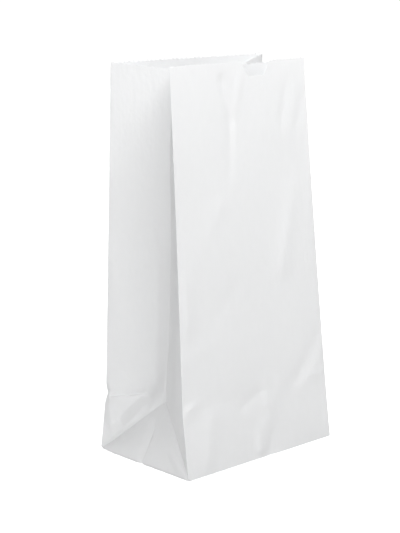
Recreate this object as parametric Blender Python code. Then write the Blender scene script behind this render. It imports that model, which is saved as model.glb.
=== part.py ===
"""A plain white paper bag, empty and standing open: a block-bottom bag with side gussets.

One sheet of paper, folded and pasted. The front and back panels stand on the long sides of a
flat rectangular base, a gusset is folded in on each side, and each gusset's lower end is held
out by the base in a triangle with 45 degree creases. The top is cut with small teeth, and the
front panel has a shallow thumb cut with slanting sides.

Metres, +Z up. The origin is the middle of the base, +X runs along the front panel from its left
edge to its right edge, and +Y runs from the front panel to the back panel.
"""
import math

import bmesh
import bpy
from mathutils import Vector

# The sheet, as folded: a small grocery or lunch bag of 5 x 3 1/4 x 9 3/4 inches.
WIDTH = 0.127
DEPTH = 0.0825
LENGTH = 0.2477
WALL = 0.0004

# How far the standing bag has opened. The side creases break at the height of the base fold
# and lean in above it, and each panel's top edge is turned a little about the vertical.
FOLD_LEVEL = DEPTH / 2
FRONT_WAIST = 0.0053
BACK_WAIST = 0.0057
FRONT_LEAN = 0.0157
BACK_LEAN = 0.0143
FRONT_TURN = math.radians(5.5)
BACK_TURN = math.radians(-1.5)

# Each gusset's centre crease lies a little behind the middle, so its front half is the wider.
FRONT_HALF = DEPTH / 2
BACK_HALF = DEPTH / 2 - 0.0016

# The cut top: teeth along the whole rim, and the thumb cut in the front panel.
TOOTH_HEIGHT = 0.0010
PANEL_TEETH = 36
GUSSET_TEETH = 12
THUMB_CENTRE = 0.0778
THUMB_TOP_HALF = 0.0134
THUMB_FOOT_HALF = 0.0072
THUMB_DEPTH = 0.0094
BAND_LEVEL = LENGTH - 0.014

# How finely the sheet is divided below the cut top.
PANEL_COLUMNS = 6
ROWS_ABOVE_FOLD = 6

PAPER_COLOUR = (0.87, 0.875, 0.885, 1.0)
PAPER_ROUGHNESS = 0.75


def remove_default_objects():
    for item in list(bpy.data.objects):
        bpy.data.objects.remove(item, do_unlink=True)


def paper_material():
    material = bpy.data.materials.new("white_paper")
    material.use_nodes = True
    shader = material.node_tree.nodes["Principled BSDF"]
    shader.inputs["Base Color"].default_value = PAPER_COLOUR
    shader.inputs["Roughness"].default_value = PAPER_ROUGHNESS
    shader.inputs["Metallic"].default_value = 0.0
    return material


def raised(start, target_x, target_y, run):
    """The point above start whose distance from it is run, at the given plan position."""
    across = math.hypot(target_x - start.x, target_y - start.y)
    return Vector((target_x, target_y, start.z + math.sqrt(run ** 2 - across ** 2)))


class SideCrease:
    """One of the four upright creases: straight to the fold level, then straight to the top."""

    def __init__(self, base_x, base_y, waist, top_x, top_y):
        self.base = Vector((base_x, base_y, 0.0))
        self.waist = raised(self.base, base_x, base_y + waist, FOLD_LEVEL)
        self.top = raised(self.waist, top_x, top_y, LENGTH - FOLD_LEVEL)

    def at(self, level):
        if level <= FOLD_LEVEL:
            return self.base.lerp(self.waist, level / FOLD_LEVEL)
        return self.waist.lerp(self.top, (level - FOLD_LEVEL) / (LENGTH - FOLD_LEVEL))


def panel_creases(base_y, waist, top_y, turn):
    """The left and right creases of the front or back panel, whose top edge is turned."""
    left, right = -WIDTH / 2, WIDTH / 2
    far_x = left + WIDTH * math.cos(turn)
    far_y = top_y + WIDTH * math.sin(turn)
    return (SideCrease(left, base_y, waist, left, top_y),
            SideCrease(right, base_y, waist, far_x, far_y))


def centre_crease(front, back, inward, level):
    """A gusset's centre crease at a level, where its two halves of paper reach each other."""
    near, far = front.at(level), back.at(level)
    mouth = math.hypot(far.x - near.x, far.y - near.y)
    along = (FRONT_HALF ** 2 - BACK_HALF ** 2 + mouth ** 2) / (2 * mouth)
    depth = math.sqrt(FRONT_HALF ** 2 - along ** 2)
    step = Vector((far.x - near.x, far.y - near.y, 0.0)) / mouth
    square = Vector((inward * abs(step.y), -inward * step.x, 0.0))
    return near + step * along + square * depth


class Gusset:
    """A side gusset. Its centre crease rises from the apex of the triangle on the base."""

    def __init__(self, front, back, inward):
        self.front = front
        self.back = back
        self.inward = inward
        meet = centre_crease(front, back, inward, FOLD_LEVEL)
        reach = abs(meet.x - front.base.x)
        self.apex = Vector((meet.x, meet.y, math.sqrt(FOLD_LEVEL ** 2 - reach ** 2)))

    def middle(self, level):
        """The paper between the two upright creases: two points below the apex, one above."""
        if level < FOLD_LEVEL:
            share = level / FOLD_LEVEL
            return [self.front.base.lerp(self.apex, share), self.back.base.lerp(self.apex, share)]
        meet = centre_crease(self.front, self.back, self.inward, level)
        if level == FOLD_LEVEL:
            return [self.apex, self.apex]
        return [raised(self.apex, meet.x, meet.y, level - FOLD_LEVEL)] * 2

    def row(self, level):
        return [self.front.at(level)] + self.middle(level) + [self.back.at(level)]


def spread(start, end, count):
    return [start.lerp(end, index / count) for index in range(count + 1)]


def thumb_drop(distance):
    """How far the thumb cut lowers the rim at a distance along the front panel."""
    offset = abs(distance - THUMB_CENTRE)
    share = (THUMB_TOP_HALF - offset) / (THUMB_TOP_HALF - THUMB_FOOT_HALF)
    return THUMB_DEPTH * min(max(share, 0.0), 1.0)


def rim(lower_at, upper_at, teeth, drop=None):
    """The cut edge of one stretch of paper: points at the tips and roots of its teeth.

    Half a tooth is left plain beside each crease, where the wall's inner faces close up.
    """
    points = []
    last = 2 * teeth
    for index in [0] + list(range(2, last - 1)) + [last]:
        share = index / last
        lowered = drop(share * WIDTH) if drop else 0.0
        if lowered == 0.0 and index % 2:
            lowered = TOOTH_HEIGHT
        below = lower_at(BAND_LEVEL).lerp(upper_at(BAND_LEVEL), share)
        above = lower_at(LENGTH).lerp(upper_at(LENGTH), share)
        points.append(above.lerp(below, lowered / (LENGTH - BAND_LEVEL)))
    return points


def distinct(points):
    """The points in order, without those that repeat their neighbour."""
    kept = []
    for point in points:
        if not kept or (point - kept[-1]).length > WALL / 100:
            kept.append(point)
    if (kept[0] - kept[-1]).length < WALL / 100:
        kept.pop()
    return kept


def add_face(sheet, points):
    corners = distinct(points)
    if len(corners) > 2:
        sheet.faces.new([sheet.verts.new(corner) for corner in corners])


def add_rows(sheet, row_at, levels):
    """Fills a panel or gusset with faces between its rows of points, one row a level."""
    for low, high in zip(levels, levels[1:]):
        lower, upper = row_at(low), row_at(high)
        for start, end, over_end, over_start in zip(lower, lower[1:], upper[1:], upper):
            add_face(sheet, [start, end, over_end, over_start])


def add_sheet(sheet):
    """The folded sheet: base, two panels, two gussets and the toothed band round the top."""
    front_left, front_right = panel_creases(
        -DEPTH / 2, FRONT_WAIST, FRONT_LEAN - DEPTH / 2, FRONT_TURN)
    back_left, back_right = panel_creases(
        DEPTH / 2, -BACK_WAIST, DEPTH / 2 - BACK_LEAN, BACK_TURN)
    rows = [FOLD_LEVEL + (BAND_LEVEL - FOLD_LEVEL) * index / ROWS_ABOVE_FOLD
            for index in range(ROWS_ABOVE_FOLD + 1)]
    levels = [0.0, FOLD_LEVEL / 2] + rows

    for left, right, drop in ((front_left, front_right, thumb_drop), (back_left, back_right, None)):
        def row_at(level):
            return spread(left.at(level), right.at(level), PANEL_COLUMNS)
        add_rows(sheet, row_at, levels)
        add_face(sheet, row_at(BAND_LEVEL) + rim(left.at, right.at, PANEL_TEETH, drop)[::-1])

    for front, back, inward in ((front_left, back_left, 1), (front_right, back_right, -1)):
        gusset = Gusset(front, back, inward)
        add_rows(sheet, gusset.row, levels)

        def centre_at(level):
            return gusset.middle(level)[0]
        for crease_at in (front.at, back.at):
            band = [crease_at(BAND_LEVEL), centre_at(BAND_LEVEL)]
            add_face(sheet, band + rim(crease_at, centre_at, GUSSET_TEETH)[::-1])

    add_face(sheet, spread(front_left.base, front_right.base, PANEL_COLUMNS)
             + spread(back_right.base, back_left.base, PANEL_COLUMNS))


def make_bag():
    mesh = bpy.data.meshes.new("paper_bag")
    sheet = bmesh.new()
    add_sheet(sheet)
    bmesh.ops.remove_doubles(sheet, verts=sheet.verts, dist=WALL / 100)
    bmesh.ops.recalc_face_normals(sheet, faces=sheet.faces)
    bmesh.ops.triangulate(sheet, faces=sheet.faces)
    sheet.to_mesh(mesh)
    sheet.free()
    mesh.materials.append(paper_material())
    bag = bpy.data.objects.new("paper_bag", mesh)
    bpy.context.scene.collection.objects.link(bag)
    thickness = bag.modifiers.new("paper_thickness", "SOLIDIFY")
    thickness.thickness = WALL
    thickness.offset = -1.0
    thickness.use_even_offset = True
    return bag


remove_default_objects()
make_bag()
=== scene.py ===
import math

import bmesh
import bpy
import numpy as np
from mathutils import Matrix, Vector, noise
from mathutils.geometry import delaunay_2d_cdt


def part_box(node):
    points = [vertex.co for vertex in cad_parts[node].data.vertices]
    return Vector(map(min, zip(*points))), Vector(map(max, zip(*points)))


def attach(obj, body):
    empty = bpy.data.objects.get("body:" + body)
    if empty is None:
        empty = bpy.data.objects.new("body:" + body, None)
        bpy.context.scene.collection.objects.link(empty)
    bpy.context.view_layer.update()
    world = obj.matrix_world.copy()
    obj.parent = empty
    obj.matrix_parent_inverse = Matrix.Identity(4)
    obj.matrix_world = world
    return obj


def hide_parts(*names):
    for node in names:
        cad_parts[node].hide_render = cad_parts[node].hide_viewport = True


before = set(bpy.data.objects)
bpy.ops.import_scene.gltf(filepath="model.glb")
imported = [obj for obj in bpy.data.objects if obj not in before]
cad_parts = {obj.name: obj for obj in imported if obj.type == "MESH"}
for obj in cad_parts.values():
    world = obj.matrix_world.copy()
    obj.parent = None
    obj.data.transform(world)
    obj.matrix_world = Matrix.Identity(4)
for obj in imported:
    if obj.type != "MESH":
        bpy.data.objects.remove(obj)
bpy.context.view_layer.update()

# --- The sheet and its creases -----------------------------------------------------------------
# One web of bleached kraft paper, about 0.1 mm thick, runs round the bag: the front panel, the
# back panel and a gusset tucked in on each side. It was creased flat on the tube machine, and
# its folds break at the height of the base fold, so the walls lean in from there to the mouth.
box_low, box_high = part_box("paper_bag")
width = box_high.x - box_low.x
depth = box_high.y - box_low.y
cut_length = 0.2477
fold_level = depth / 2

front_waist, back_waist = 0.0053, 0.0057
front_lean, back_lean = 0.0157, 0.0143
front_turn, back_turn = math.radians(5.5), math.radians(-1.5)
front_left_bow, front_right_bow = 0.0005, -0.0006
rear_half_shorter = 0.0016
gusset_front_half, gusset_back_half = depth / 2, depth / 2 - rear_half_shorter

rim_band = 0.014
band_level = cut_length - rim_band
crease_rows = (0.0003, 0.0007)
knee_gaps = (0.0012, 0.0014)
low_pitch, high_pitch = 0.0009, 0.0034
low_zone = 0.050


def sheet_levels():
    """Heights up the paper: beside each crease, close in the crumpled foot, wider above it."""
    foot = np.arange(crease_rows[-1] + low_pitch / 2, fold_level - knee_gaps[0], low_pitch)
    knee = [fold_level + side * step for step in crease_rows for side in (-1, 1)]
    shin = np.arange(fold_level + knee_gaps[1], low_zone, low_pitch)
    wall = np.linspace(low_zone, band_level, round((band_level - low_zone) / high_pitch))
    return np.array(sorted([0.0, *crease_rows, *foot, *knee, fold_level, *shin, *wall]))


levels = sheet_levels()
knee_row = int(np.argmin(np.abs(levels - fold_level)))
heights = np.append(levels, cut_length)


def raised(start, plan, run):
    """Points above start, at the given plan positions, a given length of paper away."""
    across = np.hypot(plan[..., 0] - start[0], plan[..., 1] - start[1])
    return np.stack([plan[..., 0], plan[..., 1], start[2] + np.sqrt(run ** 2 - across ** 2)], -1)


def upright_crease(base, waist, top, bow=0.0):
    """A crease's points at each level, then its point at the cut: straight legs, a slight bow."""
    base = np.array([base[0], base[1], 0.0])
    knee = raised(base, np.array([base[0], base[1] + waist]), fold_level)
    tip = raised(knee, np.array(top), cut_length - fold_level)
    path = []
    for level in heights:
        if level <= fold_level:
            point = base + (knee - base) * level / fold_level
        else:
            share = (level - fold_level) / (cut_length - fold_level)
            point = knee + (tip - knee) * share
            point = point + np.array([bow, 0.0, 0.0]) * math.sin(math.pi * share)
        path.append(point)
    return np.array(path)


left, right = -width / 2, width / 2
front, back = -depth / 2, depth / 2
front_left = upright_crease(
    (left, front), front_waist, (left, front + front_lean), bow=front_left_bow)
front_right = upright_crease(
    (right, front), front_waist,
    (left + width * math.cos(front_turn), front + front_lean + width * math.sin(front_turn)),
    bow=front_right_bow)
back_left = upright_crease((left, back), -back_waist, (left, back - back_lean))
back_right = upright_crease(
    (right, back), -back_waist,
    (left + width * math.cos(back_turn), back - back_lean + width * math.sin(back_turn)))


def centre_crease(near, far, inward):
    """The gusset's centre crease, where its two half widths of paper reach each other.

    Below the fold level it parts into the two 45 degree creases of the base triangle.
    """
    span = far[:, :2] - near[:, :2]
    mouth = np.hypot(span[:, 0], span[:, 1])
    along = (gusset_front_half ** 2 - gusset_back_half ** 2 + mouth ** 2) / (2 * mouth)
    tuck = np.sqrt(gusset_front_half ** 2 - along ** 2)
    step = span / mouth[:, None]
    square = np.stack([inward * np.abs(step[:, 1]), -inward * step[:, 0]], -1)
    plan = near[:, :2] + step * along[:, None] + square * tuck[:, None]
    reach = abs(plan[knee_row, 0] - near[0, 0])
    apex = np.array([*plan[knee_row], math.sqrt(fold_level ** 2 - reach ** 2)])
    path = [apex]
    for index in range(knee_row + 1, len(heights)):
        path.append(raised(apex, plan[index], heights[index] - fold_level))
    shares = heights[:knee_row, None] / fold_level
    front_leg = near[0] + (apex - near[0]) * shares
    back_leg = far[0] + (apex - far[0]) * shares
    return np.concatenate([front_leg, path]), np.concatenate([back_leg, path])


def sway(level, low, high):
    """One in the middle of a stretch of height, easing to nothing at its two ends."""
    share = np.clip((level - low) / (high - low), 0.0, 1.0)
    return np.sin(np.pi * share) ** 2


# Opening the mouth has drawn the upper part of the left centre crease outward. Just above the
# fold level it stays tucked in.
left_front_leg, left_back_leg = centre_crease(front_left, back_left, 1)
right_front_leg, right_back_leg = centre_crease(front_right, back_right, -1)
drawn_out, drawn_from, drawn_to = 0.0035, 0.11, 0.30
tucked_in, tucked_to = 0.0006, 0.115
left_sway = tucked_in * sway(heights, fold_level, tucked_to)
left_sway -= drawn_out * sway(heights, drawn_from, drawn_to)
for leg in (left_front_leg, left_back_leg):
    leg[:, 0] += left_sway

# --- The front panel ---------------------------------------------------------------------------
# The wide face with the thumb cut, a shallow bite with slanting sides that lets a packer open
# the bag. Pulling it open there has left two short folds that meet below the cut, and setting
# the bag down has pressed low, slanting folds into the foot of the panel.
mm = 0.001
tooth_height = 0.0009
panel_teeth = 36
band_rows = 6
thumb_centre, thumb_depth = 0.0778, 0.0094
thumb_top_half, thumb_foot_half = 0.0134, 0.0072
thumb_rounding = 0.8

# Soft folds, measured in millimetres from the panel's lower left corner: where each starts and
# ends, how wide its left and right flanks are, and how far its crest stands out at each end.
pull_folds = (
    ((45, 237), (52, 212), (5, 5), (-0.80, -0.80)),
    ((54, 213), (63, 238), (5, 5), (0.15, 0.45)),
    ((52, 212), (49, 180), (5, 9), (-0.80, -0.40)),
    ((100, 211), (107, 232), (5, 9), (-0.60, -0.30)),
    ((116, 207), (124, 226), (6, 7), (-0.50, -0.20)),
    ((92, 118), (107, 166), (11, 13), (0.90, 0.40)))
foot_folds = (
    ((6, 95), (6, 128), (3, 12), (1.00, 0.20)),
    ((24, 144), (39, 162), (8, 7), (0.20, 0.50)),
    ((30, 96), (49, 109), (8, 8), (-0.25, -0.40)),
    ((2, 72), (30, 80), (6, 6), (0.40, 0.25)),
    ((102, 45), (124, 70), (9, 8), (-0.70, -0.30)),
    ((103, 37), (126, 56), (9, 9), (0.20, 0.40)),
    ((112, 43), (125, 44), (4, 8), (0.30, 0.50)),
    ((71, 33), (71, 46), (3, 10), (0.80, 0.50)),
    ((50, 35), (70, 43), (6, 6), (-0.50, -0.30)),
    ((71, 20), (84, 46), (8, 14), (0.40, 0.30)),
    ((71, 2), (75, 14), (6, 8), (-0.60, -0.40)),
    ((62, 6), (63, 18), (5, 6), (1.10, 0.30)),
    ((3, 42), (14, 46), (4, 9), (1.10, 0.20)),
    ((17, 8), (23, 35), (10, 10), (0.70, 0.60)))

sheet_vertices, sheet_faces, crease_marks = [], [], []


def across_steps(stretch, parts):
    """Shares of a stretch of paper from crease to crease: even parts, and close to each fold."""
    close = np.array(crease_rows) / stretch
    return np.unique(np.concatenate([np.linspace(0.0, 1.0, parts + 1), close, 1.0 - close]))


def saw_drop(distance, teeth, stretch):
    """The saw-tooth cut: how far the rim lies below the tooth tips."""
    phase = distance / stretch * teeth
    return tooth_height * 2 * np.abs(phase - np.round(phase))


def thumb_cut(distance):
    """How far the thumb cut lowers the rim: straight slanting sides and a rounded foot."""
    offset = np.abs(distance - thumb_centre)
    side = (thumb_top_half - offset) / (thumb_top_half - thumb_foot_half)
    return thumb_depth * np.clip(side, 0.0, 1.0) ** thumb_rounding


def stretch_grid(start, end, steps, teeth, stretch, cut_out=None):
    """Points over a stretch of paper between two creases, and where each lies on it, flat."""
    shares = steps[None, :, None]
    rows = start[:-1, None] * (1 - shares) + end[:-1, None] * shares
    top = start[-1] * (1 - steps[:, None]) + end[-1] * steps[:, None]
    distance = steps * stretch
    drop = saw_drop(distance, teeth, stretch)
    if cut_out:
        drop = np.where(cut_out(distance) > 0.0, cut_out(distance), drop)
    reach = (cut_length - drop - band_level) / (cut_length - band_level)
    band = [rows[-1] + (top - rows[-1]) * (reach * row / band_rows)[:, None]
            for row in range(1, band_rows + 1)]
    band_up = [band_level + (cut_length - band_level) * reach * row / band_rows
               for row in range(1, band_rows + 1)]
    points = np.concatenate([rows, np.array(band)])
    across = np.linalg.norm(points[:, -1] - points[:, 0], axis=1)[:, None] * steps
    up = np.concatenate([np.repeat(levels[:, None], len(steps), 1), np.array(band_up)])
    return points, across, up


def outward(points, side):
    """Unit normals of a grid of points, on the side given by the sign."""
    normal = np.cross(np.gradient(points, axis=1), np.gradient(points, axis=0))
    size = np.linalg.norm(normal, axis=2, keepdims=True)
    return side * normal / np.maximum(size, 1e-12)


def between_creases(across, margin=0.003):
    """One over the middle of a stretch, falling to nothing at the creases that bound it."""
    inner = np.minimum(across, across[:, -1:] - across)
    reach = np.clip(inner / margin, 0.0, 1.0)
    return reach * reach * (3 - 2 * reach)


def fold(across, up, start, end, flanks, crest_heights, roundness=1.0):
    """A soft fold from start to end: how far it lifts each point of the paper.

    Its crest runs from one height to another. A flank falls from it on each side, steepest at
    the crest, and eases out at its own width. All its sizes are in millimetres.
    """
    a, b = np.array(start) * mm, np.array(end) * mm
    run = b - a
    length = np.hypot(*run)
    along = ((across - a[0]) * run[0] + (up - a[1]) * run[1]) / length
    off = ((across - a[0]) * run[1] - (up - a[1]) * run[0]) / length
    past = np.maximum(np.maximum(-along, along - length), 0.0)
    crest = roundness * mm
    away = np.sqrt(off ** 2 + past ** 2 + crest ** 2) - crest
    side = 0.5 + 0.5 * np.tanh(off / crest)
    reach = (flanks[0] * (1 - side) + flanks[1] * side) * mm
    slope = np.clip(1.0 - away / reach, 0.0, 1.0)
    share = np.clip(along / length, 0.0, 1.0)
    height = (crest_heights[0] * (1 - share) + crest_heights[1] * share) * mm
    return height * slope * slope * (1.5 - 0.5 * slope)


def slow_waves(points, scale, height, seed):
    """Low waves that any handled paper has."""
    shift = Vector((seed * 3.1, seed * 7.7, seed * 1.3))
    values = [noise.noise(Vector(point) * scale + shift) for point in points.reshape(-1, 3)]
    return height * np.array(values).reshape(points.shape[:2])


def lay_grid(points, in_order):
    """Adds a grid of points to the sheet. Its faces point outward in one order or the other."""
    start = sum(len(block) for block in sheet_vertices)
    rows, columns = points.shape[:2]
    sheet_vertices.append(points.reshape(-1, 3))
    marks = np.zeros((rows, columns), bool)
    marks[:, 0] = marks[:, -1] = True
    crease_marks.append(marks.reshape(-1))
    for row in range(rows - 1):
        for column in range(columns - 1):
            corner = start + row * columns + column
            face = (corner, corner + 1, corner + columns + 1, corner + columns)
            sheet_faces.append(face if in_order else face[::-1])


panel_steps = across_steps(width, 2 * panel_teeth)
panel, across, up = stretch_grid(
    front_left, front_right, panel_steps, panel_teeth, width, cut_out=thumb_cut)
relief = slow_waves(panel, scale=18.0, height=0.0006, seed=1)
for soft_fold in pull_folds + foot_folds:
    relief += fold(across, up, *soft_fold)
panel += outward(panel, 1) * (relief * between_creases(across))[..., None]
lay_grid(panel, True)

# --- The back panel ----------------------------------------------------------------------------
# The plain face. The bag was shipped with its base folded up against this panel, which leaves a
# straight crease across it at the height of the base fold. The edges of the web meet here too,
# lapped and pasted in a seam that runs the height of the bag.
shipping_fold = (
    (0, fold_level / mm), (width / mm, fold_level / mm), (4, 4), (0.5, 0.5))
seam_start, seam_end = 57 * mm, 68 * mm
seam_thickness = 0.00016
seam_gap = 0.1 * seam_thickness
seam_thin_edge = 0.2
plate_sharp_angle = math.radians(40)

panel, across, up = stretch_grid(back_left, back_right, panel_steps, panel_teeth, width)
relief = slow_waves(panel, scale=18.0, height=0.0008, seed=2)
relief += fold(across, up, *shipping_fold)
panel += outward(panel, -1) * (relief * between_creases(across))[..., None]
lay_grid(panel, False)


def plate_between(name, under, over):
    """A closed thin plate between two grids of points."""
    rows, columns = under.shape[:2]
    plate = bmesh.new()
    low = [[plate.verts.new(point) for point in row] for row in under]
    high = [[plate.verts.new(point) for point in row] for row in over]
    for row in range(rows - 1):
        for side in range(columns - 1):
            for layer in (low, high):
                plate.faces.new((layer[row][side], layer[row][side + 1],
                                 layer[row + 1][side + 1], layer[row + 1][side]))
        for side in (0, columns - 1):
            plate.faces.new((low[row][side], low[row + 1][side],
                             high[row + 1][side], high[row][side]))
    for row in (0, rows - 1):
        for side in range(columns - 1):
            plate.faces.new((low[row][side], low[row][side + 1],
                             high[row][side + 1], high[row][side]))
    bmesh.ops.recalc_face_normals(plate, faces=plate.faces)
    mesh = bpy.data.meshes.new(name)
    plate.to_mesh(mesh)
    plate.free()
    mesh.shade_smooth()
    mesh.set_sharp_from_angle(angle=plate_sharp_angle)
    made = bpy.data.objects.new(name, mesh)
    bpy.context.scene.collection.objects.link(made)
    return made


in_seam = (panel_steps * width > seam_start) & (panel_steps * width < seam_end)
off_panel = outward(panel, -1)[:, in_seam]
seam_under = panel[:, in_seam] + off_panel * seam_gap
seam_rise = np.linspace(seam_thin_edge, 1.0, in_seam.sum())[None, :, None]
seam_over = seam_under + off_panel * seam_thickness * seam_rise
back_seam = plate_between("back_seam_lap", seam_under, seam_over)

# --- The gussets -------------------------------------------------------------------------------
# Each side is folded inward along its middle. The base holds its lower end out in a triangle,
# and the same crease that crosses the back panel crosses its rear half, where opening the bag
# has crushed the paper below it into a few flat facets.
gusset_teeth = 12
front_half_hollow = 0.0035
left_crush, right_crush = 1.0, 0.4

# The folds between the facets, as lines of (across, up, out) in millimetres on the rear half,
# and the edge of the crushed stretch. The last point of the edge is the triangle's apex.
foot_border = ((0, 0), (0, 20), (0, 38), (0, 46), (0, 62), (42, 62), (39.65, 41.25))
crushed_facets = (
    ((3.0, 43.0, 1.3), (11.0, 42.5, 0.6), (17.0, 43.0, -0.2), (23.0, 44.0, -2.0),
     (27.0, 44.5, -2.0)),
    ((3.0, 36.5, 1.5), (11.0, 38.0, 0.5), (17.0, 39.5, -0.5), (22.5, 40.5, -2.1)),
    ((3.4, 31.0, 1.2), (4.6, 26.0, 1.6), (5.8, 21.0, 1.6), (5.0, 17.5, 0.6)),
    ((22.5, 40.5, -2.1), (19.0, 36.0, -2.1), (16.0, 32.0, -2.2), (13.5, 28.5, -2.2),
     (11.0, 24.5, -1.6), (8.6, 20.5, -0.5)),
    ((30.0, 41.0, 0.2), (26.0, 35.5, 0.5), (22.0, 29.5, 0.5), (18.0, 23.5, 0.1),
     (13.0, 17.0, -0.6), (7.0, 11.0, -0.6)),
    ((3.0, 50.0, 0.3), (11.0, 50.5, 0.1), (19.0, 51.0, -0.8), (28.0, 51.0, -1.2),
     (34.0, 46.0, 0.0)))

# Soft folds as on the front panel, each with the roundness of its crest. The two crush lines are
# a groove and the ridge above it. The triangle's folds are measured from its middle.
crush_lines = (
    ((3.5, 36.8), (20.0, 40.1), (1.2, 1.2), (-0.5, -0.5), 0.3),
    ((3.0, 38.8), (24.5, 43.0), (3.6, 1.2), (1.8, 2.4), 0.3))
rear_half_hollow = ((31, 52), (31, 132), (28, 10), (-4.4, -3.2), 2.0)
bend_behind_middle = 3.0
bend_from, bend_to, bend_pitch = -1.0, 6.0, 0.5
triangle_folds = (
    ((-19, 13), (-30, 5), (3, 3), (0.55, 0.55), 1.0),
    ((bend_behind_middle, 0), (2.2, 25), (1.7, 6), (-1.1, -1.7), 0.3))
free_of_base = 2.5 * mm

half_steps = across_steps(fold_level, 2 * gusset_teeth)
fine_half_steps = across_steps(fold_level, 4 * gusset_teeth)
bend_steps = 0.5 + np.arange(bend_from, bend_to, bend_pitch) * mm / depth
base_steps = np.unique(np.append(across_steps(depth, 4 * gusset_teeth), bend_steps))


def crumple(across, up, border, folds, softness=0.6):
    """Paper that lies flat between its folds, each a line of (across, up, out) millimetres.

    The facets are averaged over a small disc, which softens the folds between them.
    """
    spots, edges = [(*spot, 0.0) for spot in border], []
    edges += [(index, (index + 1) % len(border)) for index in range(len(border))]
    for line in folds:
        start = len(spots)
        spots += line
        edges += [(start + index, start + index + 1) for index in range(len(line) - 1)]
    flat = [Vector(spot[:2]) for spot in spots]
    flat_spots, _, facets, origins, _, _ = delaunay_2d_cdt(flat, edges, [], 1, 1e-5)
    out = [spots[origin[0]][2] for origin in origins]
    ring = [(math.cos(turn), math.sin(turn)) for turn in np.arange(8) * math.pi / 4]
    offsets = [(0.0, 0.0)] + [(softness * x, softness * y) for x, y in ring]
    offsets += [(softness * x / 2, softness * y / 2) for x, y in ring]
    total = np.zeros(across.shape)
    for shift_x, shift_y in offsets:
        x, y = across / mm + shift_x, up / mm + shift_y
        for facet in facets:
            (ax, ay), (bx, by), (cx, cy) = [flat_spots[index] for index in facet]
            area = (bx - ax) * (cy - ay) - (by - ay) * (cx - ax)
            share_b = ((x - ax) * (cy - ay) - (y - ay) * (cx - ax)) / area
            share_c = ((bx - ax) * (y - ay) - (by - ay) * (x - ax)) / area
            share_a = 1.0 - share_b - share_c
            inside = (share_a >= 0.0) & (share_b >= 0.0) & (share_c > 0.0)
            level = share_a * out[facet[0]] + share_b * out[facet[1]] + share_c * out[facet[2]]
            total += np.where(inside, level, 0.0)
    return total / len(offsets) * mm


for near, far, front_leg, back_leg, side, crush in (
        (front_left, back_left, left_front_leg, left_back_leg, -1, left_crush),
        (front_right, back_right, right_front_leg, right_back_leg, 1, right_crush)):
    half, across, up = stretch_grid(near, front_leg, half_steps, gusset_teeth, fold_level)
    span = across[:, -1:]
    share = across / np.maximum(span, mm)
    hollow = front_half_hollow * share * (1.0 - share ** 3) * span / fold_level
    relief = slow_waves(half, scale=30.0, height=0.0005, seed=4 + side) - hollow
    half += outward(half, side) * (relief * between_creases(across))[..., None]
    lay_grid(half, side > 0)

    half, across, up = stretch_grid(far, back_leg, fine_half_steps, gusset_teeth, fold_level)
    crushed = crumple(across, up, foot_border, crushed_facets)
    crushed *= between_creases(across, margin=0.001)
    for line in crush_lines:
        crushed += fold(across, up, *line) * between_creases(across)
    relief = slow_waves(half, scale=30.0, height=0.0005, seed=2 + side)
    relief += fold(across, up, *rear_half_hollow)
    relief = relief * between_creases(across) + crush * crushed
    half += outward(half, -side) * relief[..., None]
    lay_grid(half, side < 0)

    shares = base_steps[None, :, None]
    front_edge, back_edge = front_leg[:knee_row + 1, None], back_leg[:knee_row + 1, None]
    triangle = front_edge * (1 - shares) + back_edge * shares
    across = np.linalg.norm(triangle[:, -1] - triangle[:, 0], axis=1)[:, None] * base_steps
    up = np.repeat(levels[:knee_row + 1, None], len(base_steps), 1)
    relief = slow_waves(triangle, scale=40.0, height=0.0003, seed=6 + side)
    from_middle = across - across[:, -1:] / 2
    for soft_fold in triangle_folds:
        relief += fold(from_middle, up, *soft_fold)
    relief *= between_creases(across, margin=0.002) * np.clip(up / free_of_base, 0.0, 1.0)
    triangle += outward(triangle, side) * relief[..., None]
    lay_grid(triangle, side > 0)

# --- The base ----------------------------------------------------------------------------------
# A flat rectangle. The front and back of the tube's end are folded over it from the long sides,
# mitred at the corners, and pasted one over the other, so the bag stands on their two layers.
flap_thickness = 0.00014
rear_flap_low, front_flap_low = 0.0, 1.1 * flap_thickness
flap_lift = 2.2 * flap_thickness
lift_edge = 0.0012
rear_flap_reach, front_flap_reach = 0.056, 0.047
flap_inset = 0.0009

shares_x = panel_steps[None, :, None]
shares_y = base_steps[:, None, None]
floor_front = front_left[0] * (1 - shares_x) + front_right[0] * shares_x
floor_back = back_left[0] * (1 - shares_x) + back_right[0] * shares_x
base_grid = floor_front * (1 - shares_y) + floor_back * shares_y
from_sides = np.minimum(panel_steps, 1 - panel_steps)[None, :] * width
from_ends = np.minimum(base_steps, 1 - base_steps)[:, None] * depth
base_grid[..., 2] = flap_lift * np.clip(np.minimum(from_sides, from_ends) / lift_edge, 0.0, 1.0)
lay_grid(base_grid, False)


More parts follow.
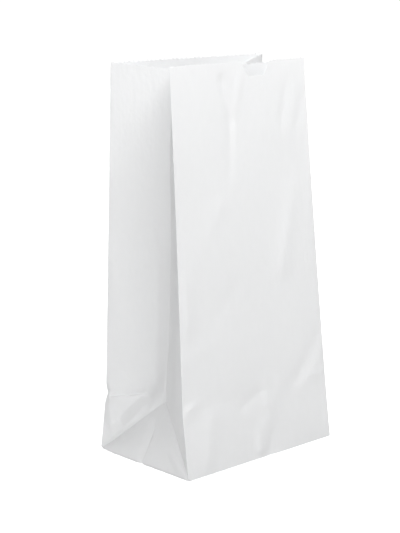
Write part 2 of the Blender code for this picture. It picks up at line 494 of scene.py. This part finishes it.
def folded_flap(name, hinge, reach, low):
    """One pasted flap of the base: a thin mitred plate reaching in from a long side."""
    inward = -math.copysign(1.0, hinge)
    edge = hinge + inward * flap_inset
    free_edge = hinge + inward * reach
    mitre = depth * 0.5 - flap_inset
    half_long, half_short = width / 2 - flap_inset, width / 2 - mitre
    mitre_end = hinge + inward * mitre
    outline = [(-half_long, edge), (half_long, edge), (half_short, mitre_end),
               (half_short, free_edge), (-half_short, free_edge), (-half_short, mitre_end)]
    plate = bmesh.new()
    corners = [plate.verts.new((x, y, low)) for x, y in outline]
    face = plate.faces.new(corners)
    grown = bmesh.ops.extrude_face_region(plate, geom=[face])["geom"]
    raised_corners = [item for item in grown if isinstance(item, bmesh.types.BMVert)]
    bmesh.ops.translate(plate, vec=(0, 0, flap_thickness), verts=raised_corners)
    bmesh.ops.recalc_face_normals(plate, faces=plate.faces)
    mesh = bpy.data.meshes.new(name)
    plate.to_mesh(mesh)
    plate.free()
    flap = bpy.data.objects.new(name, mesh)
    bpy.context.scene.collection.objects.link(flap)
    return flap


base_flaps = [
    folded_flap("rear_base_flap", back, rear_flap_reach, rear_flap_low),
    folded_flap("front_base_flap", front, front_flap_reach, front_flap_low)]

# --- Making up the bag -------------------------------------------------------------------------
# The panels, gussets and base are one sheet, so they are joined here at creases with a small
# radius. Handling has bent the base triangle behind its middle, pushed in the rear left fold
# where the base crease meets it, and curled the left rear corner of the foot off the table.
paper_thickness = 0.00016
crease_softening = 3
weld_distance, sliver_length = 2e-6, 1e-7
beside_crease = 1.5 * crease_rows[0]
sheet_sharp_angle = math.radians(65)

left_apex = left_back_leg[knee_row]
bend_share = 0.45
bend_foot = (front_left[0] + back_left[0]) / 2 + np.array([0.0, bend_behind_middle * mm, 0.0])
bend_head = bend_foot + (left_apex - bend_foot) * bend_share

# Creases pressed in to the right: start, end, reach to each side, depth, share lost by the end.
pressed_creases = (
    (back_left[0], left_apex, 0.0009, 0.0006, 0.8),
    (front_left[0], left_apex, 0.0015, 0.0013, 0.4),
    (back_left[0], front_left[0], 0.0011, 0.0004, 0.0),
    (bend_foot, bend_head, 0.0017, 0.0014, 0.5),
    (left_apex, left_back_leg[-1], 0.0012, 0.0008, 0.8))

# The dent in the rear left fold and the curled corner: middle, reach, shift.
dent_level = 0.0385
dent_row = int(np.argmin(np.abs(levels - dent_level)))
handling = (
    (back_left[dent_row], 0.0075, (0.0017, 0.0, 0.0)),
    (back_left[0], 0.014, (0.0, 0.0, 0.0010)))
handling_falloff = 1.6


def along_line(points, start, end):
    """How far each point is from the line between two others, and its share of the way."""
    run = end - start
    share = np.clip((points - start) @ run / (run @ run), 0.0, 1.0)
    return np.linalg.norm(points - start - share[:, None] * run, axis=1), share


sheet = bmesh.new()
for point in np.concatenate(sheet_vertices):
    sheet.verts.new(point)
sheet.verts.ensure_lookup_table()
crease_layer = sheet.verts.layers.int.new("crease")
for vert, mark in zip(sheet.verts, np.concatenate(crease_marks)):
    vert[crease_layer] = int(mark)
for face in sheet_faces:
    sheet.faces.new([sheet.verts[index] for index in face])
bmesh.ops.remove_doubles(sheet, verts=sheet.verts, dist=weld_distance)
bmesh.ops.dissolve_degenerate(sheet, edges=sheet.edges, dist=sliver_length)
near_creases = set(vert for vert in sheet.verts if vert[crease_layer])
for vert in list(near_creases):
    near_creases.update(edge.other_vert(vert) for edge in vert.link_edges
                        if edge.calc_length() < beside_crease)
for step in range(crease_softening):
    bmesh.ops.smooth_vert(sheet, verts=list(near_creases), factor=0.5,
                          use_axis_x=True, use_axis_y=True, use_axis_z=True)
sheet_points = np.array([vert.co for vert in sheet.verts])
for start, end, reach, press, fading in pressed_creases:
    away, share = along_line(sheet_points, start, end)
    sheet_points[:, 0] += np.clip(1.0 - away / reach, 0.0, 1.0) * press * (1.0 - fading * share)
for spot, reach, shift in handling:
    nearness = np.clip(1.0 - np.linalg.norm(sheet_points - spot, axis=1) / reach, 0.0, 1.0)
    sheet_points = sheet_points + (nearness ** handling_falloff)[:, None] * np.array(shift)
for vert, point in zip(sheet.verts, sheet_points):
    vert.co = point
bag_mesh = bpy.data.meshes.new("bag_sheet")
sheet.to_mesh(bag_mesh)
sheet.free()
bag = bpy.data.objects.new("bag_sheet", bag_mesh)
bpy.context.scene.collection.objects.link(bag)
thickness = bag.modifiers.new("paper_thickness", "SOLIDIFY")
thickness.thickness = paper_thickness
thickness.offset = -1.0
bpy.context.view_layer.update()
bag_mesh = bpy.data.meshes.new_from_object(
    bag.evaluated_get(bpy.context.evaluated_depsgraph_get()))
bag.modifiers.clear()
bag.data = bag_mesh
bag_mesh.shade_smooth()
bag_mesh.set_sharp_from_angle(angle=sheet_sharp_angle)

paper_white = (0.90, 0.905, 0.91)
thin_spots = 0.975
paper_roughness, paper_specular = 0.62, 0.35

# Each texture of the paper: its scale, its stretch along X, Y and Z, and its detail. The cockle
# and the grain that runs up the web also have a height.
formation = (260.0, (1.0, 1.0, 0.5), 4.0)
cockle, cockle_height = (330.0, (1.0, 1.0, 0.7), 2.0), 0.00018
grain, grain_height = (420.0, (1.0, 1.0, 0.04), 3.0), 0.00008


def paper_finish(name, colour):
    """Bleached kraft paper: cloudy fibre formation, a fine grain up the web, soft surface."""
    material = bpy.data.materials.new(name)
    material.use_nodes = True
    nodes, links = material.node_tree.nodes, material.node_tree.links
    shader = nodes["Principled BSDF"]
    place = nodes.new("ShaderNodeTexCoord")

    def speckle(scale, stretch, detail):
        squeezed = nodes.new("ShaderNodeMapping")
        squeezed.inputs["Scale"].default_value = stretch
        links.new(place.outputs["Object"], squeezed.inputs["Vector"])
        texture = nodes.new("ShaderNodeTexNoise")
        texture.inputs["Scale"].default_value = scale
        texture.inputs["Detail"].default_value = detail
        links.new(squeezed.outputs["Vector"], texture.inputs["Vector"])
        return texture.outputs["Fac"]

    tint = nodes.new("ShaderNodeMix")
    tint.data_type = "RGBA"
    tint.inputs["A"].default_value = (*[channel * thin_spots for channel in colour], 1.0)
    tint.inputs["B"].default_value = (*colour, 1.0)
    links.new(speckle(*formation), tint.inputs["Factor"])
    links.new(tint.outputs["Result"], shader.inputs["Base Color"])

    normal = None
    for texture, height in ((cockle, cockle_height), (grain, grain_height)):
        bump = nodes.new("ShaderNodeBump")
        bump.inputs["Strength"].default_value = 1.0
        bump.inputs["Distance"].default_value = height
        links.new(speckle(*texture), bump.inputs["Height"])
        if normal:
            links.new(normal, bump.inputs["Normal"])
        normal = bump.outputs["Normal"]
    links.new(normal, shader.inputs["Normal"])
    shader.inputs["Roughness"].default_value = paper_roughness
    shader.inputs["Specular IOR Level"].default_value = paper_specular
    return material


white_kraft = paper_finish("white_kraft_paper", paper_white)
bag_mesh.materials.clear()
bag_mesh.materials.append(white_kraft)
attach(bag, "root")
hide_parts("paper_bag")
for piece in base_flaps + [back_seam]:
    piece.data.materials.append(white_kraft)
    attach(piece, "root")

# --- The table and the light -------------------------------------------------------------------
# A plain white table in a white room, both bright enough to leave no shadow. Soft boxes stand in
# front and to the left, a small one hangs close to the gusset, one hangs over the front panel,
# and the strongest lights the inside of the bag and the table from behind.
table_reach = 30.0
table_grey = (0.4, 0.4, 0.4, 1.0)
table_light, table_seen = 0.30, 1.05
room_light, room_seen = 0.0, 1.05
pure_white = (1.0, 1.0, 1.0, 1.0)

table_mesh = bpy.data.meshes.new("white_table")
table_edit = bmesh.new()
bmesh.ops.create_grid(table_edit, x_segments=1, y_segments=1, size=table_reach)
table_edit.to_mesh(table_mesh)
table_edit.free()
table = bpy.data.objects.new("white_table", table_mesh)
bpy.context.scene.collection.objects.link(table)


def seen_directly(tree, seen, otherwise):
    """A strength that is one value where it is looked at, and another where it only lights."""
    path = tree.nodes.new("ShaderNodeLightPath")
    strength = tree.nodes.new("ShaderNodeMapRange")
    strength.inputs["To Min"].default_value = otherwise
    strength.inputs["To Max"].default_value = seen
    tree.links.new(path.outputs["Is Camera Ray"], strength.inputs["Value"])
    return strength.outputs["Result"]


table_paint = bpy.data.materials.new("matt_white_table")
table_paint.use_nodes = True
table_shader = table_paint.node_tree.nodes["Principled BSDF"]
table_shader.inputs["Base Color"].default_value = table_grey
table_shader.inputs["Roughness"].default_value = 1.0
table_shader.inputs["Specular IOR Level"].default_value = 0.0
table_shader.inputs["Emission Color"].default_value = pure_white
table_paint.node_tree.links.new(seen_directly(table_paint.node_tree, table_seen, table_light),
                                table_shader.inputs["Emission Strength"])
table_mesh.materials.append(table_paint)

room = bpy.data.worlds.new("white_room")
room.use_nodes = True
backdrop = room.node_tree.nodes["Background"]
backdrop.inputs["Color"].default_value = pure_white
room.node_tree.links.new(seen_directly(room.node_tree, room_seen, room_light),
                         backdrop.inputs["Strength"])
bpy.context.scene.world = room


def soft_light(name, turn, rise, distance, aim_height, size, power):
    """A square soft box at a bearing from the bag's front, turned to shine at its middle."""
    lamp = bpy.data.lights.new(name, "AREA")
    lamp.shape = "SQUARE"
    lamp.size = size
    lamp.energy = power
    holder = bpy.data.objects.new(name, lamp)
    turn, rise = math.radians(turn), math.radians(rise)
    step = Vector((-math.sin(turn) * math.cos(rise), -math.cos(turn) * math.cos(rise),
                   math.sin(rise)))
    holder.location = Vector((0.0, 0.0, aim_height)) + step * distance
    holder.rotation_euler = (-step).to_track_quat("-Z", "Y").to_euler()
    bpy.context.scene.collection.objects.link(holder)


soft_light("key_softbox", turn=20, rise=20, distance=1.5, aim_height=0.12, size=0.9, power=4.6)
soft_light("side_softbox", turn=62, rise=20, distance=1.5, aim_height=0.12, size=0.9, power=6.0)
soft_light("near_softbox", turn=60, rise=50, distance=0.5, aim_height=0.20, size=0.3, power=0.20)
soft_light("top_softbox", turn=-20, rise=70, distance=0.7, aim_height=0.15, size=0.5, power=4.7)
soft_light("back_softbox", turn=187, rise=60, distance=1.4, aim_height=0.12, size=1.0, power=23.5)

# --- The camera --------------------------------------------------------------------------------
# Stands in front and to the left of the bag, a little above it, with a long lens. It is aimed by
# where the bag's near lower corner falls in the view.
picture_width, picture_height = 400, 533
sensor_height = 36.0
focal_pixels = 1486.3
view_turn, view_tilt = math.radians(43.35), math.radians(12.034)
corner_pixel = (188.7, 482.0)
corner_distance = 0.8925

ahead = Vector((math.sin(view_turn) * math.cos(view_tilt),
                math.cos(view_turn) * math.cos(view_tilt), -math.sin(view_tilt)))
sideways = Vector((math.cos(view_turn), -math.sin(view_turn), 0.0))
upward = sideways.cross(ahead)
corner_right = (corner_pixel[0] - picture_width / 2) / focal_pixels * corner_distance
corner_down = (corner_pixel[1] - picture_height / 2) / focal_pixels * corner_distance
eye = Vector((left, front, 0.0)) - ahead * corner_distance
eye += upward * corner_down - sideways * corner_right

lens = bpy.data.cameras.new("bag_camera")
lens.sensor_fit = "VERTICAL"
lens.sensor_height = sensor_height
lens.lens = focal_pixels * sensor_height / picture_height
camera = bpy.data.objects.new("bag_camera", lens)
axes = Matrix((sideways, upward, -ahead)).transposed()
camera.matrix_world = Matrix.Translation(eye) @ axes.to_4x4()
bpy.context.scene.collection.objects.link(camera)
bpy.context.scene.camera = camera
bpy.context.scene.view_settings.view_transform = "Standard"
